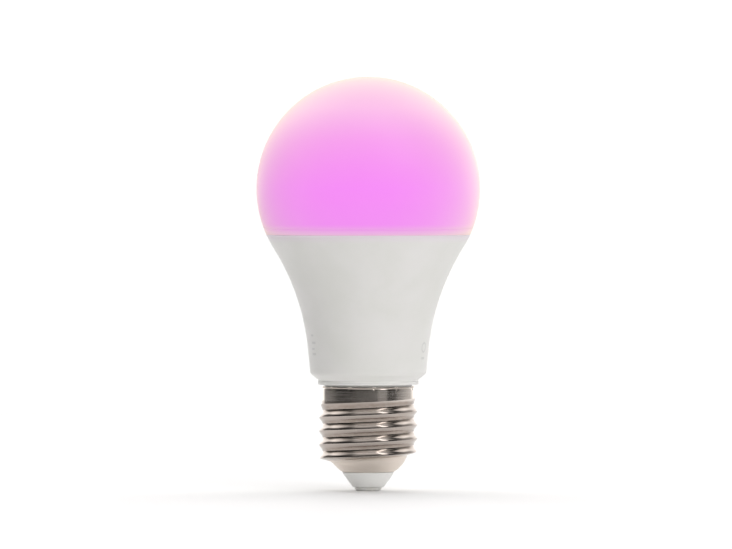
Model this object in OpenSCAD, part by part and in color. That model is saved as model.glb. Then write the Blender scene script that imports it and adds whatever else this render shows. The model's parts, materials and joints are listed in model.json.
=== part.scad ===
// Smart light bulb: a globe diffuser on a flared plastic housing with an Edison screw cap.
// Origin: middle of the flat under the centre contact. +Z runs up the bulb's axis, and -Y is its front.

/* [Globe] */
// Radius of the globe, which the housing's flare continues
globe_r = 29.75; // [29.5:0.05:30]
// Height of the globe's centre above the centre contact
globe_z = 80.25; // [80:0.05:80.5]
// Height of the seam between the diffuser and the housing
seam_z = 68; // [67.8:0.1:68.2]
// Wall of the diffuser
dome_wall = 1.3; // [1:0.1:1.5]

/* [Housing] */
// Angle below the globe's equator at which the globe's curve turns into the flare
flare_angle = 32; // [31.5:0.1:32.5]
// Radius of the hollow curve of the flare
flare_r = 62.2; // [61:0.1:63]
// Slope of the straight neck, from the axis
neck_angle = 5.8; // [5:0.1:6.5]
// Wall of the housing
housing_wall = 1.3; // [1.1:0.1:1.4]
// Height of the housing's lower lip
lip_z = 28.25; // [27.95:0.05:28.4]
// Radius of the lip
lip_r = 13.4; // [13.3:0.1:13.6]

/* [Screw cap] */
// Crest radius of the Edison thread
thread_r = 13.1; // [13.03:0.01:13.22]
// Depth of the thread
thread_depth = 0.9; // [0.85:0.01:0.92]
// Pitch of the thread, seven turns to the inch
thread_pitch = 3.629; // [3.6:0.001:3.65]
// Radius of the thread's rounded crests and roots
thread_round = 1.025; // [1:0.005:1.025]
// Thickness of the shell's sheet metal
shell_wall = 0.35; // [0.25:0.05:0.35]
// Radius of the plain skirt above the thread
skirt_r = 12.65; // [12.6:0.05:12.8]
// Height of the shell's lower edge
shell_low_z = 5; // [4.9:0.1:5.2]
// Height of the shell's upper edge
shell_top_z = 27.75; // [27.4:0.05:27.9]
// Radius of the flat under the centre contact
contact_flat_r = 3; // [2.5:0.1:3.2]

/* [Electronics] */
// Radius of the LED board
led_board_r = 22.8; // [22.5:0.1:23]
// Number of white LEDs, half of them warm and half cool
white_leds = 14; // [12:2:14]
// Number of colour LEDs
colour_leds = 6; // [6:1:6]
// Half width of the driver board's narrow tail
tail_half_w = 9.2; // [9:0.1:9.3]

/* [Hidden] */
$fn = 96;

// Clearance between pieces that are assembled face to face
fit_gap = 0.05;
// Length that cutting shapes run past a face
past = 1;

// Flare: a hollow arc tangent to the globe above and to the straight neck below
flare_cr = (globe_r + flare_r) * cos(flare_angle);
flare_cz = globe_z - (globe_r + flare_r) * sin(flare_angle);

// Stack at the mouth of the housing, measured down from the seam
plate_top_z = seam_z - 3;
plate_t = 1.2;
plate_low_z = plate_top_z - plate_t;
cup_wall = 0.8;
cup_low_z = 42;
led_board_t = 1;
led_top_z = plate_top_z + led_board_t;
skirt_out_r = 24.6;
skirt_in_r = 23.4;
skirt_low_z = seam_z - 2.4;
flange_t = 1.3;
snap_z = seam_z - 1.2;
snap_r = 0.3;

// Neck and spigot
neck_z = 31.4;
shoulder_top_z = 30.4;
spigot_low_z = 11.6;
spigot_r = 11.7;
spigot_bore_r = 10.3;
land_r = 12.15;
land_z = 25;
stake_groove_r = 11.6;
wire_slot_top_z = 20;
wire_notch_top_z = 12.6;

// Driver board: a vertical plane behind the axis
board_front_y = 0.9;
board_t = 1.2;
board_back_y = board_front_y + board_t;
board_low_z = 13;
board_step_z = 32.5;
board_top_z = 56;
board_half_w = 12.6;
lead_r = 0.3;
lead_hole_r = 0.42;

// Places of the pieces on the driver board, as [x, z] of the middle of each
input_cap_xz = [2.4, 21.5];
output_cap_xz = [-7.4, 41.5];
inductor_xz = [-8, 51.8];
film_cap_xz = [9.2, 52.2];
varistor_xz = [4, 33.9];
fuse_xz = [-5.8, 21.5];
transformer_xz = [5.6, 43.2];

// Sizes of those pieces
input_cap_r = 4;
input_cap_h = 14;
input_cap_y = -3.7;
output_cap_r = 3.15;
output_cap_h = 10;
output_cap_y = -2.9;
inductor_r = 2.6;
inductor_h = 6.4;
inductor_y = -2.4;
film_cap_size = [5.6, 5.4, 5.2];
film_cap_lead_x = 2;
varistor_r = 3.1;
varistor_t = 2.6;
varistor_lead_x = 1.8;
varistor_y = -1.8;
fuse_r = 1.5;
fuse_h = 7.6;
fuse_y = -1.6;
core_size = [10.2, 10, 4.8];
core_leg = 1.3;
core_lift = 0.7;
bobbin_wall = 0.5;
bobbin_flange_t = 0.6;
bobbin_tube_w = 2 * (core_leg + fit_gap + bobbin_wall);
bobbin_tube_d = core_size[2] + 2 * (fit_gap + bobbin_wall);

// Header between the driver board and the LED board
header_pins_n = 5;
header_pitch = 2;
header_y = -1.2;
header_x = [for (i = [0 : header_pins_n - 1]) (i - (header_pins_n - 1) / 2) * header_pitch];
header_foot_z = 50.9;
header_top_z = led_top_z + 2.2;
pin_w = 0.5;

// Wi-Fi module: an upright board whose aerial end stands above the LED board
wifi_front_y = 2.9;
wifi_t = 0.8;
wifi_half_w = 6.2;
wifi_low_z = 52;
wifi_top_z = 77;
wifi_pins_z = 53.2;

// Rings of LEDs
white_ring_r = 19.2;
colour_ring_r = 11.5;
screw_ring_r = 15.5;
white_led_size = [3.5, 2.8, 0.7];
colour_led_size = [3.5, 3.5, 1.1];

// Places where a lead passes through the driver board, as [x, z]
transformer_leads = [
    for (row = [-1, 1], column = [-1, 0, 1])
        transformer_xz + [column * 2.5, row * 5]
];
through_leads = concat(
    transformer_leads,
    [for (side = [-1, 1]) input_cap_xz + [side * 1.75, input_cap_h / 2 + 1.6]],
    [for (side = [-1, 1]) output_cap_xz + [side * 1.25, -output_cap_h / 2 - 1.6]],
    [for (side = [-1, 1]) inductor_xz + [side * 1.6, -inductor_h / 2 - 1.2]],
    [for (side = [-1, 1]) film_cap_xz + [side * film_cap_lead_x, -1.6]],
    [for (side = [-1, 1]) varistor_xz + [side * varistor_lead_x, 0]],
    [for (side = [-1, 1]) fuse_xz + [0, side * (fuse_h / 2 + 1.8)]]
);

// ---------------------------------------------------------------- helpers

// A ring, or a disc where r_in is 0, between two heights
module tube(r_out, r_in, z_low, z_high) {
    translate([0, 0, z_low])
        difference() {
            cylinder(r = r_out, h = z_high - z_low);
            if (r_in > 0)
                translate([0, 0, -past]) cylinder(r = r_in, h = z_high - z_low + 2 * past);
        }
}

// A block given by its lowest and highest corners
module block(low, high) {
    translate(low) cube(high - low);
}

// Pieces drawn in a frame whose +Z leaves the driver board's front or back, at [x, z] on the board
module on_front(xz) {
    translate([xz[0], board_front_y, xz[1]]) rotate([90, 0, 0]) children();
}

module on_back(xz) {
    translate([xz[0], board_back_y, xz[1]]) rotate([-90, 0, 0]) children();
}

// Pieces drawn in a frame whose +Z leaves the LED board, at radius r and angle a
module on_led_board(r, a) {
    rotate([0, 0, a]) translate([r, 0, led_top_z]) children();
}

// A moulded block with drafted sides, standing on z = lift
module moulded_block(size, lift = 0) {
    draft = size[2] * 0.12;
    translate([0, size[1] / 2, lift])
        rotate([90, 0, 0])
            linear_extrude(size[1])
                polygon([
                    [-size[0] / 2 + draft, 0], [size[0] / 2 - draft, 0],
                    [size[0] / 2, size[2] * 0.45], [size[0] / 2 - draft, size[2]],
                    [-size[0] / 2 + draft, size[2]], [-size[0] / 2, size[2] * 0.45]
                ]);
}

// One gull-wing lead that leaves a chip at x = reach and stands on z = 0
module gull_lead(reach, lift, width = 0.4, t = 0.2) {
    translate([0, width / 2, 0])
        rotate([90, 0, 0])
            linear_extrude(width)
                polygon([
                    [reach, lift], [reach + 0.5, lift], [reach + 0.7, t], [reach + 1.3, t],
                    [reach + 1.3, 0], [reach + 0.5, 0], [reach + 0.3, lift - t], [reach, lift - t]
                ]);
}

// Gull-wing leads along both sides of a chip
module gull_leads(half_w, lift, per_side, pitch) {
    for (side = [0, 180], i = [0 : per_side - 1])
        rotate([0, 0, side])
            translate([0, (i - (per_side - 1) / 2) * pitch, 0])
                gull_lead(half_w, lift);
}

// A round wire swept along a list of points, with flat ends
function unit(v) = v / norm(v);
function tangent(path, i) = unit(path[min(i + 1, len(path) - 1)] - path[max(i - 1, 0)]);
function wire_ring(path, i, r, sides, aside) =
    let (t = tangent(path, i), u = unit(cross(t, aside)), v = cross(t, u))
    [for (k = [0 : sides - 1]) path[i] + r * (cos(360 * k / sides) * u + sin(360 * k / sides) * v)];
module wire(path, r, aside, sides = 12) {
    last = len(path) - 1;
    function at(i, k) = i * sides + k % sides;
    polyhedron(
        points = [for (i = [0 : last]) each wire_ring(path, i, r, sides, aside)],
        faces = concat(
            [[for (k = [0 : sides - 1]) at(0, k)]],
            [for (i = [0 : last - 1], k = [0 : sides - 1])
                [at(i, k), at(i + 1, k), at(i + 1, k + 1), at(i, k + 1)]],
            [[for (k = [sides - 1 : -1 : 0]) at(last, k)]]
        )
    );
}

// A smooth curve through a list of points, with steps points on each stretch from b to c
function curve_point(a, b, c, d, t) =
    b + (c - a) * t / 2
    + (2 * a - 5 * b + 4 * c - d) * pow(t, 2) / 2
    + (3 * b - a - 3 * c + d) * pow(t, 3) / 2;
function smooth(path, steps) =
    let (last = len(path) - 1)
    concat(
        [for (i = [0 : last - 1], s = [0 : steps - 1])
            curve_point(path[max(i - 1, 0)], path[i], path[i + 1], path[min(i + 2, last)], s / steps)],
        [path[last]]
    );

// ---------------------------------------------------------------- housing and diffuser

// Radius of the bulb's outline at height z, with its curved side moved out by grow
function flare_low_z(grow) = flare_cz + (flare_r - grow) * sin(neck_angle);
function flare_low_r(grow) = flare_cr - (flare_r - grow) * cos(neck_angle);
function body_radius(z, grow = 0) =
    z >= globe_z - (globe_r + grow) * sin(flare_angle) ? sqrt(pow(globe_r + grow, 2) - pow(globe_z - z, 2))
    : z >= flare_low_z(grow) ? flare_cr - sqrt(pow(flare_r - grow, 2) - pow(z - flare_cz, 2))
    : flare_low_r(grow) - (flare_low_z(grow) - z) * tan(neck_angle);

// Area inside that outline between two heights
module body_area(grow, z_low, z_high) {
    steps = round(z_high - z_low);
    polygon(concat(
        [[0, z_high], [0, z_low]],
        [for (i = [0 : steps]) let (z = z_low + (z_high - z_low) * i / steps) [body_radius(z, grow), z]]
    ));
}

// Diffuser: a spherical shell with a thick rim, and a skirt that snaps into the housing
module diffuser_dome() {
    groove_z = seam_z + 1.55;
    color("orchid")
        rotate_extrude() {
            difference() {
                translate([0, globe_z]) circle(globe_r);
                translate([0, globe_z]) circle(globe_r - dome_wall);
                translate([body_radius(groove_z), groove_z]) circle(0.12);
                translate([0, seam_z - globe_r]) square([2 * globe_r, globe_r]);
                translate([-2 * globe_r, 0]) square([2 * globe_r, globe_z + 2 * globe_r]);
            }
            difference() {
                body_area(-dome_wall / 2, seam_z, seam_z + flange_t);
                translate([0, seam_z]) square([skirt_in_r, flange_t]);
            }
            translate([skirt_in_r, skirt_low_z]) square([skirt_out_r - skirt_in_r, seam_z - skirt_low_z]);
            intersection() {
                translate([skirt_out_r, snap_z]) circle(snap_r);
                translate([skirt_out_r, snap_z - snap_r]) square(2 * snap_r);
            }
        }
}

// Bead of silicone between the diffuser's skirt and the heat sink's rim
module dome_sealant() {
    color("white")
        tube(24.2, 23.5, plate_top_z, skirt_low_z - fit_gap);
}

// Rails inside the spigot that hold both edges of the driver board
module board_rails() {
    rail_w = 0.7;
    rail_gap = 0.12;
    for (side = [-1, 1], y = [board_front_y - rail_gap - rail_w, board_back_y + rail_gap])
        translate([side > 0 ? 8.3 : -10.6, y, 12]) cube([2.3, rail_w, 16]);
}

// Housing: one moulding with the flared body, the chamfered collar and the spigot that the cap fits
module housing_shell() {
    groove_r = snap_r + 0.12;
    color("gainsboro")
        difference() {
            union() {
                rotate_extrude() {
                    difference() {
                        body_area(0, neck_z, seam_z);
                        body_area(-housing_wall, neck_z - past, plate_top_z + 0.3);
                        translate([0, plate_top_z]) square([skirt_out_r + 0.15, 5]);
                        translate([skirt_out_r, snap_z]) circle(groove_r);
                    }
                    collar_section();
                }
                board_rails();
            }
            block([11.1, -0.6, spigot_low_z - past], [13, 0.6, wire_slot_top_z]);
            block([spigot_bore_r - past, -0.6, spigot_low_z - past], [13, 0.6, wire_notch_top_z]);
        }
}

// Half section of the collar and spigot
module collar_section() {
    neck_r = body_radius(neck_z);
    neck_bore_r = neck_r - housing_wall;
    polygon([
        [spigot_bore_r, spigot_low_z], [spigot_r, spigot_low_z], [spigot_r, land_z], [land_r, land_z],
        [land_r, land_z + 0.6], [stake_groove_r, land_z + 0.8], [stake_groove_r, lip_z],
        [lip_r - 0.1, lip_z], [lip_r, lip_z + 0.1],
        [lip_r, lip_z + 0.8], [lip_r - 0.15, lip_z + 0.95],
        [lip_r - 0.15, lip_z + 1.2], [lip_r + 0.1, lip_z + 1.35],
        [neck_r - 0.45, neck_z - 0.5], [neck_r - 0.15, neck_z - 0.2], [neck_r, neck_z], [neck_bore_r, neck_z],
        [neck_bore_r - 0.2, shoulder_top_z], [spigot_bore_r + 0.6, shoulder_top_z],
        [spigot_bore_r, shoulder_top_z - 0.6]
    ]);
}

// Heat sink: an upturned aluminium cup whose skirt lines the housing
module heat_sink_cup() {
    lining = -housing_wall - fit_gap;
    collar_r = 1.9;
    color("silver")
        difference() {
            union() {
                rotate_extrude()
                    difference() {
                        body_area(lining, cup_low_z, plate_top_z);
                        body_area(lining - cup_wall, cup_low_z - past, plate_low_z);
                    }
                for (side = [-1, 1])
                    translate([side * screw_ring_r, 0, 0])
                        tube(collar_r, 0, plate_low_z - 2, plate_low_z + 0.5);
            }
            for (side = [-1, 1])
                translate([side * screw_ring_r, 0, plate_low_z - 3]) cylinder(r = 1.25, h = 6);
            block([-7.5, -3.2, plate_low_z - past], [7.5, 4.8, plate_top_z + past]);
        }
}

// ---------------------------------------------------------------- LED board

module led_board() {
    color("white")
        difference() {
            tube(led_board_r, 0, plate_top_z, led_top_z);
            for (side = [-1, 1])
                translate([side * screw_ring_r, 0, plate_top_z - past]) cylinder(r = 1.4, h = 3);
            block([-5.1, header_y - 0.6, plate_top_z - past], [5.1, header_y + 0.6, led_top_z + past]);
            block([-wifi_half_w - 0.3, wifi_front_y - 0.4, plate_top_z - past],
                  [wifi_half_w + 0.3, wifi_front_y + wifi_t + 0.4, led_top_z + past]);
            translate([0, -led_board_r - 0.6, plate_top_z - past]) cylinder(r = 1.6, h = 3);
        }
}

// Two pan-head screws with cross recesses
module led_board_screws() {
    head_r = 2.2;
    head_h = 1.5;
    color("lightgray")
        for (side = [-1, 1])
            translate([side * screw_ring_r, 0, led_top_z])
                difference() {
                    union() {
                        cylinder(r1 = head_r, r2 = head_r - 0.5, h = head_h);
                        translate([0, 0, -4.5]) cylinder(r = 1.2, h = 5);
                    }
                    for (turn = [0, 90])
                        rotate([0, 0, turn + 20])
                            translate([-1.4, -0.3, head_h - 0.8]) cube([2.8, 0.6, 2]);
                }
}

// A white LED: a tray with a shallow well, and the phosphor that fills the well
module white_led_package() {
    s = white_led_size;
    difference() {
        translate([-s[0] / 2, -s[1] / 2, 0]) cube(s);
        translate([-s[0] / 2 + 0.4, -s[1] / 2 + 0.35, 0.3]) cube([s[0] - 0.8, s[1] - 0.7, 1]);
    }
}

module white_led_phosphor() {
    s = white_led_size;
    translate([-s[0] / 2 + 0.4, -s[1] / 2 + 0.35, 0.3]) cube([s[0] - 0.8, s[1] - 0.7, s[2] - 0.34]);
}

// Every second place of the outer ring, starting at first
module white_led_places(first) {
    for (i = [first : 2 : white_leds - 1])
        on_led_board(white_ring_r, 360 * (i + 0.5) / white_leds) rotate([0, 0, 90]) children();
}

module warm_white_led_packages() {
    color("white") white_led_places(0) white_led_package();
}

module warm_white_phosphor() {
    color("gold") white_led_places(0) white_led_phosphor();
}

module cool_white_led_packages() {
    color("white") white_led_places(1) white_led_package();
}

module cool_white_phosphor() {
    color("khaki") white_led_places(1) white_led_phosphor();
}

module colour_led_places() {
    for (i = [0 : colour_leds - 1]) {
        a = 30 + 360 * i / colour_leds;
        on_led_board(colour_ring_r, a) rotate([0, 0, -a]) children();
    }
}

// A colour LED: a square package with a round reflector cup
module colour_led_packages() {
    s = colour_led_size;
    color("whitesmoke")
        colour_led_places()
            difference() {
                translate([-s[0] / 2, -s[1] / 2, 0]) cube(s);
                translate([0, 0, 0.35]) cylinder(r1 = 1.1, r2 = 1.45, h = s[2] - 0.34);
            }
}

module colour_led_lenses() {
    color("lavender")
        colour_led_places()
            translate([0, 0, 0.35]) cylinder(r1 = 1.08, r2 = 1.4, h = colour_led_size[2] - 0.4);
}

// Two chips that set the current of the five LED channels
module led_current_chips() {
    color("dimgray")
        for (a = [0, 180])
            on_led_board(9.6, a) moulded_block([3.9, 4.9, 1.4], 0.1);
}

module led_board_resistors() {
    color("black")
        for (a = [-122, -106, -74, -58], r = [7.2])
            on_led_board(r, a) rotate([0, 0, 90 - a]) translate([-1, -0.6, 0]) cube([2, 1.2, 0.5]);
}

// Socket that the header's pins enter from below
module led_board_socket() {
    half_l = header_pins_n * header_pitch / 2 + 0.3;
    color("ivory")
        difference() {
            block([-half_l, header_y - 1.2, led_top_z], [half_l, header_y + 1.2, led_top_z + 2.6]);
            for (x = header_x)
                block([x - 0.4, header_y - 0.4, led_top_z - past], [x + 0.4, header_y + 0.4, led_top_z + 4]);
        }
}

// Header pins: bent at the foot to pass through the driver board
module header_pins() {
    half_w = pin_w / 2;
    color("gold")
        for (x = header_x)
            translate([x, header_y, header_foot_z]) {
                block([-half_w, -half_w, 0], [half_w, half_w, header_top_z - header_foot_z]);
                block([-half_w, half_w, 0], [half_w, board_back_y - header_y + 0.8, pin_w]);
            }
}

// Plastic bar that holds the header's pins upright in front of the driver board
module header_base() {
    half_l = header_pins_n * header_pitch / 2 + 0.1;
    low_z = header_foot_z + 0.9;
    color("black")
        difference() {
            block([-half_l, header_y - 1.1, low_z], [half_l, board_front_y - fit_gap, low_z + 2.4]);
            for (x = header_x)
                block([x - 0.3, header_y - 0.3, low_z - past], [x + 0.3, header_y + 0.3, low_z + 4]);
        }
}

// ---------------------------------------------------------------- Wi-Fi module

module wifi_board() {
    color("steelblue")
        difference() {
            block([-wifi_half_w, wifi_front_y, wifi_low_z], [wifi_half_w, wifi_front_y + wifi_t, wifi_top_z]);
            for (x = header_x)
                translate([x, wifi_front_y - past, wifi_pins_z])
                    rotate([-90, 0, 0]) cylinder(r = lead_hole_r, h = 3);
        }
}

// Pressed metal can over the radio chip, open towards its board
module wifi_shield() {
    low = [-5, wifi_front_y + wifi_t, 54.6];
    high = [5, wifi_front_y + wifi_t + 1.9, 62.8];
    wall = 0.2;
    color("silver")
        difference() {
            block(low, high);
            block(low + [wall, -past, wall], high - [wall, wall, wall]);
        }
}

// Folded aerial track on the end of the module that stands inside the diffuser
module wifi_antenna() {
    track_w = 0.6;
    track_t = 0.06;
    step = 1.5;
    folds = 7;
    reach_z = 75.9;
    fold_z = 71.4;
    feed_l = 5;
    x_left = -(folds * step + track_w) / 2;
    color("goldenrod")
        translate([x_left, wifi_front_y + wifi_t + track_t, fold_z])
            rotate([90, 0, 0])
                linear_extrude(track_t)
                    union() {
                        for (i = [0 : folds])
                            translate([i * step, 0]) square([track_w, reach_z - fold_z]);
                        for (i = [0 : folds - 1])
                            translate([i * step, i % 2 == 0 ? reach_z - fold_z - track_w : 0])
                                square([step + track_w, track_w]);
                        translate([0, -feed_l]) square([track_w, feed_l + track_w]);
                    }
}

// Pins that solder the module to the driver board
module wifi_solder_pins() {
    color("gainsboro")
        for (x = header_x)
            translate([x, board_back_y, wifi_pins_z])
                rotate([-90, 0, 0]) {
                    cylinder(r = lead_r, h = 2.3);
                    cylinder(r1 = 0.65, r2 = lead_r, h = 0.6);
                }
}

// ---------------------------------------------------------------- driver board

module driver_board() {
    color("seagreen")
        difference() {
            translate([0, board_back_y, 0])
                rotate([90, 0, 0])
                    linear_extrude(board_t)
                        polygon([
                            [-tail_half_w, board_low_z], [tail_half_w, board_low_z],
                            [tail_half_w, board_step_z - 1], [board_half_w - 0.8, board_step_z],
                            [board_half_w, board_step_z + 0.8], [board_half_w, board_top_z],
                            [-board_half_w, board_top_z], [-board_half_w, board_step_z + 0.8],
                            [-board_half_w + 0.8, board_step_z], [-tail_half_w, board_step_z - 1]
                        ]);
            for (xz = concat(through_leads, wire_holes))
                on_front(xz) translate([0, 0, -3]) cylinder(r = lead_hole_r, h = 5, $fn = 32);
            for (x = header_x)
                on_front([x, header_foot_z + pin_w / 2])
                    translate([0, 0, -3]) cylinder(r = lead_hole_r, h = 5, $fn = 32);
        }
}

// An upright electrolytic capacitor: a can with a rolled neck, a vented top and a rubber bung
module can_capacitor(r, h) {
    rotate_extrude()
        polygon([
            [0, 0], [r * 0.72, 0], [r * 0.72, 0.15], [r - 0.2, 0.15], [r, 0.35], [r, h * 0.12],
            [r - 0.35, h * 0.16], [r, h * 0.2], [r, h - 0.5], [r - 0.3, h - 0.1], [r - 0.5, h],
            [r - 0.8, h], [r - 0.9, h - 0.2], [0, h - 0.2]
        ]);
}

module input_capacitor() {
    color("midnightblue")
        translate([input_cap_xz[0], input_cap_y, input_cap_xz[1] + input_cap_h / 2])
            rotate([180, 0, 0]) can_capacitor(input_cap_r, input_cap_h);
}

module output_capacitor() {
    color("darkslategray")
        translate([output_cap_xz[0], output_cap_y, output_cap_xz[1] - output_cap_h / 2])
            can_capacitor(output_cap_r, output_cap_h);
}

// Drum inductor: a ferrite drum with its winding under a shrink sleeve
module input_inductor() {
    color("black")
        translate([inductor_xz[0], inductor_y, inductor_xz[1] - inductor_h / 2])
            rotate_extrude()
                polygon([
                    [0, 0], [inductor_r - 0.25, 0], [inductor_r, 0.25], [inductor_r, 1],
                    [inductor_r - 0.25, 1.3], [inductor_r - 0.25, inductor_h - 1.3],
                    [inductor_r, inductor_h - 1],
                    [inductor_r, inductor_h - 0.25], [inductor_r - 0.25, inductor_h], [0, inductor_h]
                ]);
}

module film_capacitor() {
    color("firebrick")
        on_front(film_cap_xz) moulded_block(film_cap_size, 0.3);
}

module varistor() {
    color("royalblue")
        translate([varistor_xz[0], varistor_y, varistor_xz[1]])
            rotate([90, 0, 0])
                rotate_extrude()
                    polygon([
                        [0, -varistor_t / 2], [varistor_r - 0.9, -varistor_t / 2],
                        [varistor_r - 0.3, -varistor_t / 3], [varistor_r, 0],
                        [varistor_r - 0.3, varistor_t / 3],
                        [varistor_r - 0.9, varistor_t / 2], [0, varistor_t / 2]
                    ]);
}

// Fusible resistor: a barrel with swollen ends
module fuse_resistor() {
    color("lightsteelblue")
        translate([fuse_xz[0], fuse_y, fuse_xz[1] - fuse_h / 2])
            rotate_extrude()
                polygon([
                    [0, 0], [fuse_r - 0.5, 0], [fuse_r, 0.5], [fuse_r, 1.5], [fuse_r - 0.25, 2],
                    [fuse_r - 0.25, fuse_h - 2], [fuse_r, fuse_h - 1.5], [fuse_r, fuse_h - 0.5],
                    [fuse_r - 0.5, fuse_h], [0, fuse_h]
                ]);
}

// ---------------------------------------------------------------- transformer

// Half of the E core, with its back at the origin and its legs towards +Z
module e_core_half(leg_l) {
    translate([-core_size[0] / 2, -core_size[2] / 2, 0]) cube([core_size[0], core_size[2], core_leg]);
    for (x = [-core_size[0] / 2, -core_leg, core_size[0] / 2 - core_leg])
        translate([x, -core_size[2] / 2, 0])
            cube([x == -core_leg ? 2 * core_leg : core_leg, core_size[2], leg_l]);
}

// The transformer's own frame: +Z leaves the board and the origin is on the board's face
module transformer_frame() {
    on_front(transformer_xz) children();
}

module transformer_core() {
    half_l = core_size[1] / 2 - 0.04;
    color("dimgray")
        transformer_frame() {
            translate([0, 0, core_lift]) e_core_half(half_l);
            translate([0, 0, core_lift + core_size[1]]) rotate([180, 0, 0]) e_core_half(half_l);
        }
}

// Former: a square tube with two flanges and a rail of pins on each side
module transformer_bobbin() {
    low = core_lift + core_leg + fit_gap;
    high = core_lift + core_size[1] - core_leg - fit_gap;
    color("darkolivegreen")
        transformer_frame()
            difference() {
                union() {
                    translate([-bobbin_tube_w / 2, -bobbin_tube_d / 2, low])
                        cube([bobbin_tube_w, bobbin_tube_d, high - low]);
                    for (z = [low, high - bobbin_flange_t])
                        translate([-3.7, -4.6, z]) cube([7.4, 9.2, bobbin_flange_t]);
                    for (side = [-1, 1])
                        translate([-3.7, side * 5 - 0.8, 0.3]) cube([7.4, 1.6, low + bobbin_flange_t - 0.3]);
                }
                translate([0, 0, 5])
                    cube([2 * (core_leg + fit_gap), core_size[2] + 2 * fit_gap, 14], center = true);
                for (xz = transformer_leads)
                    translate([xz[0] - transformer_xz[0], xz[1] - transformer_xz[1], -past])
                        cylinder(r = lead_r, h = 2.4, $fn = 32);
            }
}

// Winding under its wrap of tape
module transformer_winding() {
    low = core_lift + core_leg + fit_gap + bobbin_flange_t;
    high = core_lift + core_size[1] - core_leg - fit_gap - bobbin_flange_t;
    corner = 1;
    size = [6.8, 8.6];
    color("gold")
        transformer_frame()
            translate([0, 0, low + 0.05])
                difference() {
                    linear_extrude(high - low - 0.1)
                        union() {
                            square(size - [2 * corner, 0], center = true);
                            square(size - [0, 2 * corner], center = true);
                            for (x = [-1, 1], y = [-1, 1])
                                translate([x * (size[0] / 2 - corner), y * (size[1] / 2 - corner)])
                                    circle(corner);
                        }
                    translate([0, 0, 5])
                        cube([bobbin_tube_w + 0.04, bobbin_tube_d + 0.04, 14], center = true);
                }
}

module transformer_pins() {
    color("gainsboro")
        for (xz = transformer_leads)
            on_front(xz)
                translate([0, 0, -board_t - 0.8]) cylinder(r = lead_r - 0.02, h = board_t + 2.1, $fn = 32);
}

// ---------------------------------------------------------------- chips and small parts

bridge_xz = [0, 26.4];
driver_chip_xz = [-2.5, 44];
diode_places = [[8.9, 35.6], [8.9, 43.2]];
regulator_xz = [-9, 51.5];
chip_resistor_places = [
    [-9.4, 37], [-9.4, 39.4], [-9.4, 41.8], [-9.4, 44.2], [3.4, 36], [-3.2, 31.2], [-2.5, 49], [-6, 18.4]
];
chip_capacitor_places = [[-2.5, 38.2], [-2.5, 34], [6.2, 18.4]];

module bridge_rectifier() {
    color("black") on_back(bridge_xz) moulded_block([4, 4.7, 1.5], 0.1);
}

module driver_chip() {
    color("dimgray") on_back(driver_chip_xz) moulded_block([3.9, 4.9, 1.4], 0.1);
}

module diodes() {
    color("black")
        for (xz = diode_places) on_back(xz) moulded_block([4.3, 2.6, 2], 0.1);
}

module voltage_regulator() {
    color("black") on_back(regulator_xz) moulded_block([2.5, 4.5, 1.4], 0.1);
}

module chip_resistors() {
    color("black")
        for (xz = chip_resistor_places) on_back(xz) translate([-1.6, -0.8, 0]) cube([3.2, 1.6, 0.55]);
}

module chip_capacitors() {
    color("tan")
        for (xz = chip_capacitor_places) on_back(xz) translate([-1.6, -0.8, 0]) cube([3.2, 1.6, 1]);
}

// Every gull-wing lead, on both boards
module chip_leads() {
    color("gainsboro") {
        on_back(bridge_xz) gull_leads(2, 0.8, 2, 2.5);
        on_back(driver_chip_xz) gull_leads(1.95, 0.75, 4, 1.27);
        on_back(regulator_xz) gull_leads(1.25, 0.75, 3, 1.5);
        for (xz = diode_places) on_back(xz) gull_leads(2.15, 1, 1, 1);
        for (a = [0, 180]) on_led_board(9.6, a) gull_leads(1.95, 0.75, 4, 1.27);
    }
}

// Bent wire leads of the parts in front of the board, each as a riser and a stub through its hole
module bent_lead(x, y, z_from, z_hole) {
    low = min(z_from, z_hole);
    high = max(z_from, z_hole);
    stub_y = board_back_y + 0.8;
    translate([x, y, low - (z_hole < z_from ? lead_r : 0)])
        cylinder(r = lead_r, h = high - low + lead_r, $fn = 32);
    translate([x, y, z_hole]) rotate([-90, 0, 0]) cylinder(r = lead_r, h = stub_y - y, $fn = 32);
}

module component_leads() {
    color("gainsboro") {
        for (side = [-1, 1]) {
            bent_lead(input_cap_xz[0] + side * 1.75, input_cap_y, input_cap_xz[1] + input_cap_h / 2,
                      input_cap_xz[1] + input_cap_h / 2 + 1.6);
            bent_lead(output_cap_xz[0] + side * 1.25, output_cap_y, output_cap_xz[1] - output_cap_h / 2,
                      output_cap_xz[1] - output_cap_h / 2 - 1.6);
            bent_lead(inductor_xz[0] + side * 1.6, inductor_y, inductor_xz[1] - inductor_h / 2,
                      inductor_xz[1] - inductor_h / 2 - 1.2);
            bent_lead(
                fuse_xz[0], fuse_y, fuse_xz[1] + side * fuse_h / 2, fuse_xz[1] + side * (fuse_h / 2 + 1.8)
            );
        }
        for (xz = [for (side = [-1, 1]) film_cap_xz + [side * film_cap_lead_x, -1.6]])
            on_front(xz) translate([0, 0, -board_t - 0.8]) cylinder(r = lead_r, h = board_t + 1.1, $fn = 32);
        for (xz = [for (side = [-1, 1]) varistor_xz + [side * varistor_lead_x, 0]])
            on_front(xz) translate([0, 0, -board_t - 0.8])
                cylinder(
                    r = lead_r, h = board_t + 0.8 + board_front_y - varistor_y - varistor_t / 2, $fn = 32
                );
    }
}

// A cone of solder round each lead behind the driver board
module solder_joints() {
    color("silver")
        for (xz = concat(through_leads, wire_holes))
            on_back(xz)
                difference() {
                    cylinder(r1 = 0.85, r2 = 0.4, h = 0.7, $fn = 32);
                    translate([0, 0, -past]) cylinder(r = lead_r, h = 3, $fn = 32);
                }
}

// ---------------------------------------------------------------- wires to the cap

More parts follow.
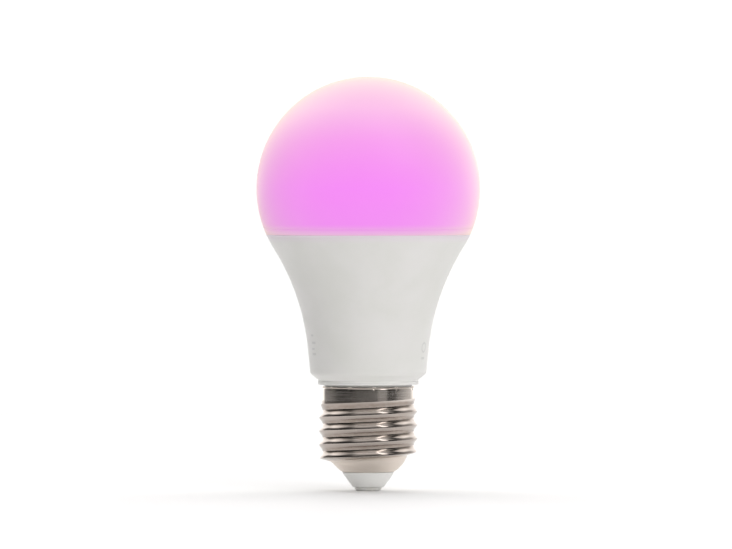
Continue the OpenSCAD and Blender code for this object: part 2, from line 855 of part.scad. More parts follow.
live_hole = [-2.4, 15];
neutral_hole = [6.7, 15];
wire_holes = [live_hole, neutral_hole];
wire_r = 0.6;
conductor_r = 0.28;
live_end_z = 8.2;
contact_tip_z = 7.2;

// A run of wire with straight ends: its end points, and the points of the curve between them
function run(start, middle, end) = concat([start], smooth(middle, 3), [end]);

// Live wire: from the driver board's tail down into the insulator, over the centre contact
live_run = run(
    [-2.4, -0.2, 15],
    [
        [-2.4, -0.6, 15], [-2.4, -1.3, 14.3], [-2, -1.6, 12.8],
        [-1, -1.3, 11.2], [-0.2, -0.3, 9.9], [0, 0, 8.9]
    ],
    [0, 0, live_end_z]
);

// Neutral wire: from the tail down past the spigot's mouth
neutral_run = run(
    [6.7, -0.2, 15],
    [
        [6.7, -0.6, 15], [6.9, -1.3, 14.3], [7.4, -1.5, 13.3],
        [7.9, -1.1, 12.2], [8.3, -0.4, 11.2], [8.5, 0, 10.8]
    ],
    [8.8, 0, 10.5]
);

// Its bare end folds up into the slot between the spigot and the shell
neutral_bare_run = run(
    [8.8, 0, 10.5],
    [[9.1, 0, 10.2], [9.7, 0, 10.05], [10.4, 0, 10.4], [11.1, 0, 11.1], [11.4, 0, 12]],
    [11.45, 0, 18]
);

module live_wire() {
    color("firebrick") wire(live_run, wire_r, [1, 0, 0.01]);
}

module neutral_wire() {
    color("ivory") wire(neutral_run, wire_r, [0, 1, 0.01]);
}

// Bare ends of both wires
module wire_conductors() {
    color("peru") {
        for (xz = wire_holes)
            translate([xz[0], -0.2, xz[1]])
                rotate([-90, 0, 0]) cylinder(r = conductor_r, h = board_back_y + 1, $fn = 32);
        translate([0, 0, contact_tip_z]) cylinder(r = conductor_r, h = live_end_z - contact_tip_z, $fn = 32);
        wire(neutral_bare_run, conductor_r, [0, 1, 0.01], 8);
    }
}

// ---------------------------------------------------------------- screw cap

root_r = thread_r - thread_depth;
shell_low_r = 7;
// Radius and height of the rounded taper's upper end, which the lowest turn stands out from
bowl_r = 10.2;
bowl_top_z = 9.6;
columns = 48;
stakes = 12;
stake_z = 27.05;
stake_depth = 0.45;

// Height of the lowest root row at the back of the cap, where each turn's count starts
first_root_z = 5.95;
// Number of full ridges, and the turn angles between which the lowest one rises and the last one runs out
full_turns = 4;
rise_end = 75;
runout_start = 285;
runout_end = 350;
// Height of the skirt above the root as a share of the thread's depth, and the length of the slope up to it
skirt_share = (skirt_r - root_r) / thread_depth;
skirt_rise = 1.3;

// Angle of the thread's flank, where it is tangent to a crest's round and a root's round
centres_out = 2 * thread_round - thread_depth;
centres_apart = norm([thread_pitch / 2, centres_out]);
flank_angle = asin(2 * thread_round / centres_apart) - atan(centres_out / (thread_pitch / 2));
flank_x = thread_round * sin(flank_angle);

// Height above the root, as a share of the depth, at distance x along the axis from a crest
function ridge_height(x) =
    x <= flank_x ? 1 - (thread_round - sqrt(pow(thread_round, 2) - pow(x, 2))) / thread_depth
    : x >= thread_pitch / 2 - flank_x
        ? (thread_round - sqrt(pow(thread_round, 2) - pow(thread_pitch / 2 - x, 2))) / thread_depth
    : 0.5 + (thread_pitch / 4 - x) * tan(flank_angle) / thread_depth;

// Radius of the rounded taper under the thread
function bowl_radius(z) =
    let (up = min(1, (z - shell_low_z) / (bowl_top_z - shell_low_z)))
    shell_low_r + (bowl_r - shell_low_r) * (1 - pow(1 - up, 2));

// 0 before low, 1 after high, smooth in between
function ease(low, high, v) =
    let (t = min(1, max(0, (v - low) / (high - low)))) t * t * (3 - 2 * t);

// Height above the root, as a share of the depth: `pitches` above the first root row, at turn angle a
// counted from the back
function thread_share(pitches, a) =
    let (turn = min(floor(pitches), full_turns))
    let (ridge = ridge_height(thread_pitch * abs(min(pitches, full_turns + 0.5) - turn - 0.5)))
    let (climb = min(1, (pitches - full_turns) * thread_pitch / skirt_rise))
    let (cut = turn == full_turns ? skirt_share * (1 - cos(90 * climb)) : min(ridge, skirt_share))
    let (full = turn == full_turns ? cut : ridge * ease(0, rise_end, 360 * turn + a))
    let (runout = pitches < full_turns - 1 ? 0 : ease(runout_start, runout_end, a))
    full + ((pitches < full_turns - 0.5 ? cut : skirt_share) - full) * runout;

// Radius the ridges stand on: the taper, then the root cylinder from the lowest turn up
function base_radius(z, pitches, a) =
    bowl_radius(z) + (root_r - bowl_radius(z)) * ease(0.22, 0.5, pitches - 1 + ease(0, rise_end, a));

// Depth of a stake mark in the shell's skirt, at column i and height z
function stake(i, z) =
    i % (columns / stakes) == 1 && abs(z - stake_z) < 0.1 ? stake_depth : 0;

// Points up one column of the shell's wall, as [r, z], moved in by inset, with rows rows to a pitch
function wall_column(i, rows, inset, tapers) =
    let (a = 360 * i / columns)
    let (row0_z = first_root_z + thread_pitch * a / 360)
    let (last_z = row0_z + thread_pitch * (full_turns + 0.5))
    concat(
        [for (k = [0 : tapers - 1])
            let (z = shell_low_z + (row0_z - shell_low_z) * k / tapers) [bowl_radius(z) - inset, z]],
        [for (m = [0 : rows * (full_turns + 0.5)])
            let (z = row0_z + thread_pitch * m / rows)
            [base_radius(z, m / rows, a) + thread_depth * thread_share(m / rows, a) - inset, z]],
        [for (z = [max(stake_z - 0.6, last_z + 0.02), stake_z, stake_z + 0.5, shell_top_z])
            if (z > last_z + 0.01) [skirt_r - inset - stake(i, z), z]]
    );

// Triangles between two neighbouring columns, joined in order of height
function zip(a, b, first_a, first_b, i = 0, j = 0, made = []) =
    i == len(a) - 1 && j == len(b) - 1 ? made
    : j == len(b) - 1 || (i < len(a) - 1 && a[i + 1][1] <= b[j + 1][1])
        ? zip(a, b, first_a, first_b, i + 1, j, concat(made, [[first_a + i, first_a + i + 1, first_b + j]]))
    : zip(a, b, first_a, first_b, i, j + 1, concat(made, [[first_a + i, first_b + j + 1, first_b + j]]));

function starts(lists, i = 0, at = 0, made = []) =
    i == len(lists) ? made : starts(lists, i + 1, at + len(lists[i]), concat(made, [at]));

// Screw shell: thin rolled sheet with a right-hand Edison thread, closed between its outer and inner walls
module screw_shell() {
    outer = [for (i = [0 : columns - 1]) wall_column(i, 8, 0, 5)];
    inner = [for (i = [0 : columns - 1]) wall_column(i, 4, shell_wall, 4)];
    lists = concat(outer, inner);
    first = starts(lists);
    points = [
        for (k = [0 : 2 * columns - 1])
            let (a = 90 + 360 * (k % columns) / columns)
            each [for (p = lists[k]) [p[0] * cos(a), p[0] * sin(a), p[1]]]
    ];
    function next(i) = (i + 1) % columns;
    outer_faces = [
        for (i = [0 : columns - 1]) each zip(outer[i], outer[next(i)], first[i], first[next(i)])
    ];
    inner_faces = [
        for (i = [0 : columns - 1])
            let (j = next(i))
            each [
                for (f = zip(inner[i], inner[j], first[columns + i], first[columns + j]))
                    [f[0], f[2], f[1]]
            ]
    ];
    rim_faces = [
        for (i = [0 : columns - 1])
            let (j = next(i))
            let (low = [first[i], first[j], first[columns + j], first[columns + i]])
            let (high = [for (k = [i, j, columns + j, columns + i]) first[k] + len(lists[k]) - 1])
            each [
                [low[0], low[1], low[2]], [low[0], low[2], low[3]],
                [high[2], high[1], high[0]], [high[3], high[2], high[0]]
            ]
    ];
    color("silver") polyhedron(points = points, faces = concat(outer_faces, inner_faces, rim_faces));
}

// Insulator: a moulded button that plugs the shell's lower mouth and holds the contact
module base_insulator() {
    seat = shell_wall + 0.2;
    flange_r = shell_low_r - 0.15;
    top_z = 7.8;
    color("whitesmoke")
        rotate_extrude()
            polygon(concat(
                [[1.05, 0.95], [3.9, 0.95], [4.3, 1.2], [5.2, 2.4], [6.1, 3.7], [flange_r - 0.15, 4.5],
                [flange_r, 4.7], [flange_r, shell_low_z - 0.1], [shell_low_r - seat, shell_low_z - 0.1]],
                [for (z = [shell_low_z + 0.1 : 0.4 : top_z]) [bowl_radius(z) - seat, z]],
                [
                    [bowl_radius(top_z) - seat - 0.3, 8.1], [7.5, 8.1], [7.2, 6.8],
                    [1.9, 6.8], [1.9, 8], [1.05, 8]
                ]
            ));
}

// Centre contact: a nail whose head shows under the insulator
module centre_contact() {
    head_r = 3.8;
    color("silver")
        rotate_extrude()
            polygon([
                [0, 0], [contact_flat_r, 0], [head_r - 0.5, 0.25], [head_r - 0.1, 0.6], [head_r - 0.1, 0.8],
                [head_r - 0.2, 0.9], [1, 0.9], [1, contact_tip_z - 0.6],
                [0.5, contact_tip_z], [0, contact_tip_z]
            ]);
}

// ---------------------------------------------------------------- nodes

diffuser_dome();
dome_sealant();
housing_shell();
heat_sink_cup();
led_board();
led_board_screws();
warm_white_led_packages();
warm_white_phosphor();
cool_white_led_packages();
cool_white_phosphor();
colour_led_packages();
colour_led_lenses();
led_current_chips();
led_board_resistors();
led_board_socket();
header_pins();
header_base();
wifi_board();
wifi_shield();
wifi_antenna();
wifi_solder_pins();
driver_board();
input_capacitor();
output_capacitor();
transformer_core();
transformer_bobbin();
transformer_winding();
transformer_pins();
input_inductor();
film_capacitor();
varistor();
fuse_resistor();
bridge_rectifier();
driver_chip();
diodes();
voltage_regulator();
chip_resistors();
chip_capacitors();
chip_leads();
component_leads();
solder_joints();
live_wire();
neutral_wire();
wire_conductors();
screw_shell();
base_insulator();
centre_contact();
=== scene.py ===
"""Looks of the smart light bulb. Lengths are in millimetres until a mesh is made, and angles in degrees."""

import json
import math

import bmesh
import bpy
import numpy as np
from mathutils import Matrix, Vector


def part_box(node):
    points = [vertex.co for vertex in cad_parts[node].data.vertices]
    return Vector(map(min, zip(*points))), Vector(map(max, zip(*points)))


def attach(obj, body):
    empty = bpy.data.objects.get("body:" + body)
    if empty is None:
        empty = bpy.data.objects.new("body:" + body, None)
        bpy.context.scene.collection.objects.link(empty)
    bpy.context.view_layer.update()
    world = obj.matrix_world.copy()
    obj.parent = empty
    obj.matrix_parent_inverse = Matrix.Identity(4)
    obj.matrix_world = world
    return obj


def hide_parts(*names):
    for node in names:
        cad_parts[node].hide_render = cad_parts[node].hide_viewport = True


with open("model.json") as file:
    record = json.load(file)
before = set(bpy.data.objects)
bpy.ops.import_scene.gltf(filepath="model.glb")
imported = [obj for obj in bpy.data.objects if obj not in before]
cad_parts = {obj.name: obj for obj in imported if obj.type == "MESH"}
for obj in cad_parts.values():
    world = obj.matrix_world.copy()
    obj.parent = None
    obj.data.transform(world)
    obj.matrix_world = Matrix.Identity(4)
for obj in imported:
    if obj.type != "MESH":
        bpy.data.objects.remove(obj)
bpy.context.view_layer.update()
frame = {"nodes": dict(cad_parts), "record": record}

MM = 0.001
SEGMENTS = 192

# ---------------------------------------------------------------- sizes


def cad_box_of(node):
    """A CAD node's lowest and highest corners, in millimetres."""
    return [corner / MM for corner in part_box(node)]


DOME_LOW, DOME_HIGH = cad_box_of("diffuser_dome")
SHELL_LOW, SHELL_HIGH = cad_box_of("screw_shell")
HOUSING_LOW, HOUSING_HIGH = cad_box_of("housing_shell")
INSULATOR_LOW, INSULATOR_HIGH = cad_box_of("base_insulator")
CONTACT_HIGH = cad_box_of("centre_contact")[1]

# Globe, and the flare that carries its curve on into the neck
GLOBE_R = min(-DOME_LOW.x, DOME_HIGH.x)
GLOBE_Z = DOME_HIGH.z - GLOBE_R
SEAM_Z = HOUSING_HIGH.z
FLARE_ANGLE = 32
FLARE_R = 62.2
NECK_ANGLE = 5.8
WALL = 1.3
FLARE_X = (GLOBE_R + FLARE_R) * math.cos(math.radians(FLARE_ANGLE))
FLARE_Z = GLOBE_Z - (GLOBE_R + FLARE_R) * math.sin(math.radians(FLARE_ANGLE))
EDGE = 0.12

# Diffuser's skirt, flange and the fine groove over its rim
RIM_GROOVE_Z = SEAM_Z + 1.55
SKIRT_R = 24.6
SKIRT_BORE_R = 23.4
FLANGE_T = 1.3
SNAP_Z = SEAM_Z - 1.2
SNAP_R = 0.3

# Housing's collar and spigot
NECK_Z = 31.4
LIP_Z = 28.25
LIP_R = 13.4
SPIGOT_Z = HOUSING_LOW.z
SPIGOT_R = 11.7
SPIGOT_BORE_R = 10.3
LAND_R = 12.15
LAND_Z = 25
SHOULDER_Z = 30.4
SEAT_Z = SEAM_Z - 3

# Driver board's rails in the spigot, and the slot for the neutral wire with its wider notch at the mouth
RAIL_W = 0.7
RAIL_GAP = 0.12
RAIL_INNER_X = 8.3
RAIL_OUTER_X = 10.6
RAIL_LOW_Z = 12
RAIL_HIGH_Z = 28
BOARD_FRONT_Y = 0.9
BOARD_BACK_Y = 2.1
SLOT_INNER_X = 11.1
SLOT_OUTER_X = 13
SLOT_HALF_W = 0.6
SLOT_TOP_Z = 20
NOTCH_TOP_Z = 12.6

# Edison thread
CREST_R = min(-SHELL_LOW.x, SHELL_HIGH.x)
THREAD_DEPTH = 0.9
THREAD_ROUND = 1.025
PITCH = 3.629
FULL_TURNS = 4
ROOT_R = CREST_R - THREAD_DEPTH
SKIRT_TOP_Z = SHELL_HIGH.z
CAP_SKIRT_R = 12.65
CAP_LOW_R = 7
CAP_BOWL_R = 10.2
CAP_BOWL_TOP_Z = 9.6
SKIRT_RISE = 1.3
FIRST_ROOT_Z = 5.95
SHEET = 0.35
STAKES = 12
STAKE_ANGLE = 7.5
RIM_ROUND = 0.8

# Turn angles, counted from the back, where the ridge has risen at the bottom and where it runs out at the top
RISE_END = 75
RUNOUT_START = 285
RUNOUT_END = 350

# Columns of points round the shell, and rows to a pitch on its outer and inner walls
SHELL_COLUMNS = 360
OUTER_ROWS = 18
INNER_ROWS = 6


# ---------------------------------------------------------------- geometry


def body_radius(z, grow=0.0):
    """Radius of the bulb's outline at height z, with its curved side moved out by grow."""
    low_z = FLARE_Z + (FLARE_R - grow) * math.sin(math.radians(NECK_ANGLE))
    low_r = FLARE_X - (FLARE_R - grow) * math.cos(math.radians(NECK_ANGLE))
    if z >= GLOBE_Z - (GLOBE_R + grow) * math.sin(math.radians(FLARE_ANGLE)):
        return math.sqrt((GLOBE_R + grow) ** 2 - (GLOBE_Z - z) ** 2)
    if z >= low_z:
        return FLARE_X - math.sqrt((FLARE_R - grow) ** 2 - (z - FLARE_Z) ** 2)
    return low_r - (low_z - z) * math.tan(math.radians(NECK_ANGLE))


def body_side(z_from, z_to, grow, step=0.7):
    """Points along that outline between two heights."""
    count = max(2, round(abs(z_to - z_from) / step))
    heights = [z_from + (z_to - z_from) * i / count for i in range(count + 1)]
    return [(body_radius(z, grow), z) for z in heights]


def arc(centre, radius, start, end, steps):
    """Points on an arc from one angle to another, counted from the +r direction."""
    angles = [math.radians(start + (end - start) * i / steps) for i in range(steps + 1)]
    return [(centre[0] + radius * math.cos(a), centre[1] + radius * math.sin(a)) for a in angles]


def rounded(corners, steps=4):
    """An outline through (r, z, radius) corners, with each corner that has a radius turned into an arc."""
    outline = []
    for i, (r, z, radius) in enumerate(corners):
        here = Vector((r, z))
        back = Vector(corners[i - 1][:2]) - here
        on = Vector(corners[(i + 1) % len(corners)][:2]) - here
        turn = back.angle(on, math.pi)
        if radius == 0 or turn > math.radians(178):
            outline.append((r, z))
            continue
        reach = min(radius / math.tan(turn / 2), back.length * 0.45, on.length * 0.45)
        start, end = here + back.normalized() * reach, here + on.normalized() * reach
        for k in range(steps + 1):
            t = k / steps
            outline.append(tuple((1 - t) ** 2 * start + 2 * t * (1 - t) * here + t**2 * end))
    return outline


def new_object(name, points, faces):
    """A smooth-shaded mesh object from points in millimetres, with its edges over 35 degrees sharp."""
    mesh = bpy.data.meshes.new(name)
    mesh.from_pydata([tuple(c * MM for c in p) for p in points], [], faces)
    tidy = bmesh.new()
    tidy.from_mesh(mesh)
    bmesh.ops.recalc_face_normals(tidy, faces=tidy.faces)
    tidy.to_mesh(mesh)
    tidy.free()
    mesh.shade_smooth()
    mesh.set_sharp_from_angle(angle=math.radians(35))
    obj = bpy.data.objects.new(name, mesh)
    bpy.context.scene.collection.objects.link(obj)
    return obj


def lathe(name, outline, segments=SEGMENTS):
    """A solid of revolution from a closed (r, z) outline. Points on the axis become one pole each."""
    points, rings = [], []
    for r, z in outline:
        if r < 1e-6:
            rings.append([len(points)] * segments)
            points.append((0, 0, z))
            continue
        rings.append(list(range(len(points), len(points) + segments)))
        for k in range(segments):
            a = 2 * math.pi * k / segments
            points.append((r * math.cos(a), r * math.sin(a), z))
    faces = []
    for i, ring in enumerate(rings):
        following = rings[(i + 1) % len(rings)]
        if outline[i][0] < 1e-6 and outline[(i + 1) % len(outline)][0] < 1e-6:
            continue
        for k in range(segments):
            j = (k + 1) % segments
            face = [ring[k], ring[j], following[j], following[k]]
            faces.append(list(dict.fromkeys(face)))
    return new_object(name, points, faces)


def block(low, high):
    """A box between two corners, for a boolean."""
    corners = [(x, y, z) for x in (low[0], high[0]) for y in (low[1], high[1]) for z in (low[2], high[2])]
    faces = [(0, 1, 3, 2), (4, 6, 7, 5), (0, 4, 5, 1), (2, 3, 7, 6), (0, 2, 6, 4), (1, 5, 7, 3)]
    return new_object("tool", corners, faces)


def combine(obj, tool, operation):
    """Adds a tool to a piece, or cuts it away, and removes the tool."""
    boolean = obj.modifiers.new("combine", "BOOLEAN")
    boolean.operation, boolean.object, boolean.solver = operation, tool, "EXACT"
    evaluated = obj.evaluated_get(bpy.context.evaluated_depsgraph_get())
    made = bpy.data.meshes.new_from_object(evaluated)
    obj.modifiers.clear()
    obj.data = made
    bpy.data.objects.remove(tool)
    made.shade_smooth()
    made.set_sharp_from_angle(angle=math.radians(35))


def make_diffuser():
    """Milky globe: a thin shell with a fine groove over its rim, a flange, and a skirt with a snap bead."""
    groove_half = 0.16
    groove_low = math.degrees(math.asin((RIM_GROOVE_Z - groove_half - GLOBE_Z) / GLOBE_R))
    groove_high = math.degrees(math.asin((RIM_GROOVE_Z + groove_half - GLOBE_Z) / GLOBE_R))
    seam_angle = math.degrees(math.asin((SEAM_Z + EDGE - GLOBE_Z) / GLOBE_R))
    flange_angle = math.degrees(math.asin((SEAM_Z + FLANGE_T - GLOBE_Z) / (GLOBE_R - WALL)))
    centre = (0, GLOBE_Z)
    groove_r = body_radius(RIM_GROOVE_Z)
    rim_r = body_radius(SEAM_Z)
    outline = (
        arc(centre, GLOBE_R, 90, groove_high, 96)
        + [(groove_r - 0.06, RIM_GROOVE_Z + 0.05), (groove_r - 0.06, RIM_GROOVE_Z - 0.05)]
        + arc(centre, GLOBE_R, groove_low, seam_angle, 5)
        + arc((rim_r - EDGE, SEAM_Z + EDGE), EDGE, -20, -90, 4)
        + [(SKIRT_R, SEAM_Z)]
        + arc((SKIRT_R, SNAP_Z), SNAP_R, 90, -90, 8)
        + arc((SKIRT_R - 0.3, SEAM_Z - 2.1), 0.3, 0, -90, 4)
        + arc((SKIRT_BORE_R + 0.3, SEAM_Z - 2.1), 0.3, -90, -180, 4)
        + [(SKIRT_BORE_R, SEAM_Z + FLANGE_T - 0.3), (SKIRT_BORE_R + 0.3, SEAM_Z + FLANGE_T)]
        + arc(centre, GLOBE_R - WALL, flange_angle, 90, 64)
    )
    return lathe("diffuser", outline)


def make_housing():
    """Flared white moulding with its chamfered collar, spigot, board rails and wire slot."""
    neck_r = body_radius(NECK_Z)
    neck_bore_r = neck_r - WALL
    rim_r = body_radius(SEAM_Z)
    mouth_r = SKIRT_R + 0.15
    collar = rounded([
        (neck_r, NECK_Z, 0), (neck_r - 0.4, NECK_Z - 0.55, 0.6), (LIP_R + 0.1, LIP_Z + 1.35, 0.2),
        (LIP_R - 0.15, LIP_Z + 1.2, 0.12), (LIP_R - 0.15, LIP_Z + 0.95, 0.12),
        (LIP_R, LIP_Z + 0.8, 0.1), (LIP_R, LIP_Z, 0.1),
        (LAND_R - 0.55, LIP_Z, 0), (LAND_R - 0.55, LAND_Z + 0.8, 0.1),
        (LAND_R, LAND_Z + 0.6, 0), (LAND_R, LAND_Z, 0.1), (SPIGOT_R, LAND_Z, 0),
        (SPIGOT_R, SPIGOT_Z, 0.3), (SPIGOT_BORE_R, SPIGOT_Z, 0.2),
        (SPIGOT_BORE_R, SHOULDER_Z - 0.6, 0), (SPIGOT_BORE_R + 0.6, SHOULDER_Z, 0.1),
        (neck_bore_r - 0.2, SHOULDER_Z, 0.1), (neck_bore_r, NECK_Z, 0),
    ])
    outline = (
        arc((rim_r - EDGE, SEAM_Z - EDGE), EDGE, 90, 15, 4)
        + body_side(SEAM_Z - EDGE, NECK_Z + 0.4, 0)
        + collar
        + body_side(NECK_Z + 0.4, SEAT_Z, -WALL)
        + [(mouth_r, SEAT_Z + 0.1), (mouth_r, SNAP_Z - 0.4)]
        + arc((SKIRT_R, SNAP_Z), SNAP_R + 0.12, -60, 60, 6)
        + [(mouth_r, SNAP_Z + 0.4), (mouth_r, SEAM_Z - 0.2), (mouth_r + 0.2, SEAM_Z)]
    )
    housing = lathe("housing", outline)
    for x_low, x_high in ((RAIL_INNER_X, RAIL_OUTER_X), (-RAIL_OUTER_X, -RAIL_INNER_X)):
        for y in (BOARD_FRONT_Y - RAIL_GAP - RAIL_W, BOARD_BACK_Y + RAIL_GAP):
            combine(housing, block((x_low, y, RAIL_LOW_Z), (x_high, y + RAIL_W, RAIL_HIGH_Z)), "UNION")
    for inner_x, top_z in ((SLOT_INNER_X, SLOT_TOP_Z), (SPIGOT_BORE_R - 0.5, NOTCH_TOP_Z)):
        low, high = (inner_x, -SLOT_HALF_W, SPIGOT_Z - 1), (SLOT_OUTER_X, SLOT_HALF_W, top_z)
        combine(housing, block(low, high), "DIFFERENCE")
    return housing


def ease(low, high, value):
    """0 below low, 1 above high, smooth in between."""
    t = min(1, max(0, (value - low) / (high - low)))
    return t * t * (3 - 2 * t)


def bowl_radius(z):
    """Radius of the rounded taper under the thread."""
    up = min(1, (z - SHELL_LOW.z) / (CAP_BOWL_TOP_Z - SHELL_LOW.z))
    return CAP_LOW_R + (CAP_BOWL_R - CAP_LOW_R) * (1 - (1 - up) ** 2)


def base_radius(z, pitches, a):
    """Radius the ridges stand on: the taper, then the root cylinder from the lowest turn up."""
    onto_root = ease(0.22, 0.5, pitches - 1 + ease(0, RISE_END, a))
    return bowl_radius(z) + (ROOT_R - bowl_radius(z)) * onto_root


# Slope of the straight flank between the round crest and the round root, and where the crest ends on it
CENTRES_OUT = 2 * THREAD_ROUND - THREAD_DEPTH
CENTRES_APART = math.hypot(PITCH / 2, CENTRES_OUT)
FLANK = math.asin(2 * THREAD_ROUND / CENTRES_APART) - math.atan(CENTRES_OUT / (PITCH / 2))
FLANK_X = THREAD_ROUND * math.sin(FLANK)


def ridge_height(x):
    """Height above the root as a share of the depth, at distance x along the axis from a crest."""
    if x <= FLANK_X:
        return 1 - (THREAD_ROUND - math.sqrt(THREAD_ROUND**2 - x**2)) / THREAD_DEPTH
    if x >= PITCH / 2 - FLANK_X:
        return (THREAD_ROUND - math.sqrt(THREAD_ROUND**2 - (PITCH / 2 - x) ** 2)) / THREAD_DEPTH
    return 0.5 + (PITCH / 4 - x) * math.tan(FLANK) / THREAD_DEPTH


def thread_share(pitches, a):
    """Height above the root, pitches above the first root row, at turn angle a counted from the back."""
    skirt_share = (CAP_SKIRT_R - ROOT_R) / THREAD_DEPTH
    turn = min(math.floor(pitches), FULL_TURNS)
    ridge = ridge_height(PITCH * abs(min(pitches, FULL_TURNS + 0.5) - turn - 0.5))
    climb = min(1, (pitches - FULL_TURNS) * PITCH / SKIRT_RISE)
    cut = skirt_share * (1 - math.cos(math.pi / 2 * climb)) if turn == FULL_TURNS else min(ridge, skirt_share)
    full = cut if turn == FULL_TURNS else ridge * ease(0, RISE_END, 360 * turn + a)
    runout = 0 if pitches < FULL_TURNS - 1 else ease(RUNOUT_START, RUNOUT_END, a)
    return full + ((cut if pitches < FULL_TURNS - 0.5 else skirt_share) - full) * runout


def stake(world_angle, z):
    """Depth of the punched dents under the rim, which hold the shell to the housing."""
    half_width, height, depth = 2.1, 1.0, 0.35
    off = (world_angle - 270 - STAKE_ANGLE + 180 / STAKES) % (360 / STAKES) - 180 / STAKES
    across = max(0, 1 - abs(off) / half_width)
    down = max(0, 1 - abs(z - (SKIRT_TOP_Z - 0.5)) / (height / 2))
    return depth * ease(0, 1, across) * ease(0, 1, down)


def shell_column(i, rows, inset):
    """Points up one column of the shell's wall, with rows rows to a pitch."""
    a = 360 * i / SHELL_COLUMNS
    row0_z = FIRST_ROOT_Z + PITCH * a / 360
    last = round(rows * (FULL_TURNS + 0.5))
    made = []
    tapers = rows // 2
    for k in range(tapers):
        z = SHELL_LOW.z + (row0_z - SHELL_LOW.z) * k / tapers
        made.append((bowl_radius(z) - inset, z))
    for m in range(last + 1):
        z = row0_z + PITCH * m / rows
        made.append((base_radius(z, m / rows, a) + THREAD_DEPTH * thread_share(m / rows, a) - inset, z))
    above = made[-1][1]
    for k in range(1, rows + 1):
        z = above + (SKIRT_TOP_Z - (RIM_ROUND if inset == 0 else 0) - above) * k / rows
        made.append((CAP_SKIRT_R - inset - stake(90 + a, z), z))
    if inset == 0:
        low_r = made[0][0]
        made[0] = (low_r - 0.1, SHELL_LOW.z)
        made.insert(1, (low_r, SHELL_LOW.z + 0.1))
        high_r, _ = made.pop()
        made += arc((high_r - RIM_ROUND, SKIRT_TOP_Z - RIM_ROUND), RIM_ROUND, 0, 65, 6)
    return made


def zipped(low, high, first_low, first_high):
    """Triangles between two neighbouring columns, joined in order of height."""
    made, i, j = [], 0, 0
    while i < len(low) - 1 or j < len(high) - 1:
        if j == len(high) - 1 or (i < len(low) - 1 and low[i + 1][1] <= high[j + 1][1]):
            made.append((first_low + i, first_low + i + 1, first_high + j))
            i += 1
        else:
            made.append((first_low + i, first_high + j + 1, first_high + j))
            j += 1
    return made


def make_screw_shell():
    """Rolled sheet shell with a right-hand thread that rises at the bottom and runs out under the skirt."""
    columns = SHELL_COLUMNS
    lists = [shell_column(i, OUTER_ROWS, 0) for i in range(columns)]
    lists += [shell_column(i, INNER_ROWS, SHEET) for i in range(columns)]
    first = np.concatenate([[0], np.cumsum([len(p) for p in lists])]).tolist()
    points = []
    for k, column in enumerate(lists):
        a = math.radians(90 + 360 * (k % columns) / columns)
        points += [(r * math.cos(a), r * math.sin(a), z) for r, z in column]
    faces = []
    for i in range(columns):
        j = (i + 1) % columns
        faces += zipped(lists[i], lists[j], first[i], first[j])
        inner_i, inner_j = columns + i, columns + j
        faces += [f[::-1] for f in zipped(lists[inner_i], lists[inner_j], first[inner_i], first[inner_j])]
        faces.append((first[i], first[j], first[inner_j], first[inner_i]))
        faces.append(tuple(first[k + 1] - 1 for k in (inner_i, inner_j, j, i)))
    return new_object("cap_shell", points, faces)


def make_insulator():
    """Moulded button that closes the shell's lower mouth."""
    seat = SHEET + 0.2
    top = INSULATOR_HIGH.z
    flange_r = CAP_LOW_R - 0.15
    low_z = SHELL_LOW.z - 0.1
    side = [(bowl_radius(low_z + 0.2 + 0.4 * i) - seat, low_z + 0.2 + 0.4 * i, 0) for i in range(8)]
    return lathe("insulator", rounded(
        [(1.05, INSULATOR_LOW.z, 0), (4.15, INSULATOR_LOW.z, 0.4), (5.25, 2.4, 3), (flange_r - 0.25, 4.35, 1)]
        + [(flange_r, 4.6, 0.1), (flange_r, low_z, 0.1), (CAP_LOW_R - seat, low_z, 0)]
        + side
        + [(side[-1][0] - 0.3, top, 0.1), (7.5, top, 0.2), (7.2, 6.8, 0.2), (1.9, 6.8, 0.2)]
        + [(1.9, top - 0.1, 0.1), (1.05, top - 0.1, 0.1)],
        steps=6,
    ))


def make_contact():
    """Nail whose flat, rolled head is the centre contact."""
    head_r = CONTACT_HIGH.x
    tip = CONTACT_HIGH.z
    return lathe("contact_nail", rounded([
        (0, 0, 0), (3, 0, 0.8), (head_r - 0.3, 0.25, 0.5), (head_r, 0.6, 0.2), (head_r - 0.1, 0.9, 0.1),
        (1, 0.9, 0.1), (1, tip - 0.6, 0.1), (0.5, tip, 0.1), (0, tip, 0),
    ]))


# ---------------------------------------------------------------- node helpers


def srgb(*channels):
    """A colour written in display values from 0 to 255, as linear values with alpha."""
    linear = [c / 255 / 12.92 if c <= 10 else ((c / 255 + 0.055) / 1.055) ** 2.4 for c in channels]
    return (*linear, 1)


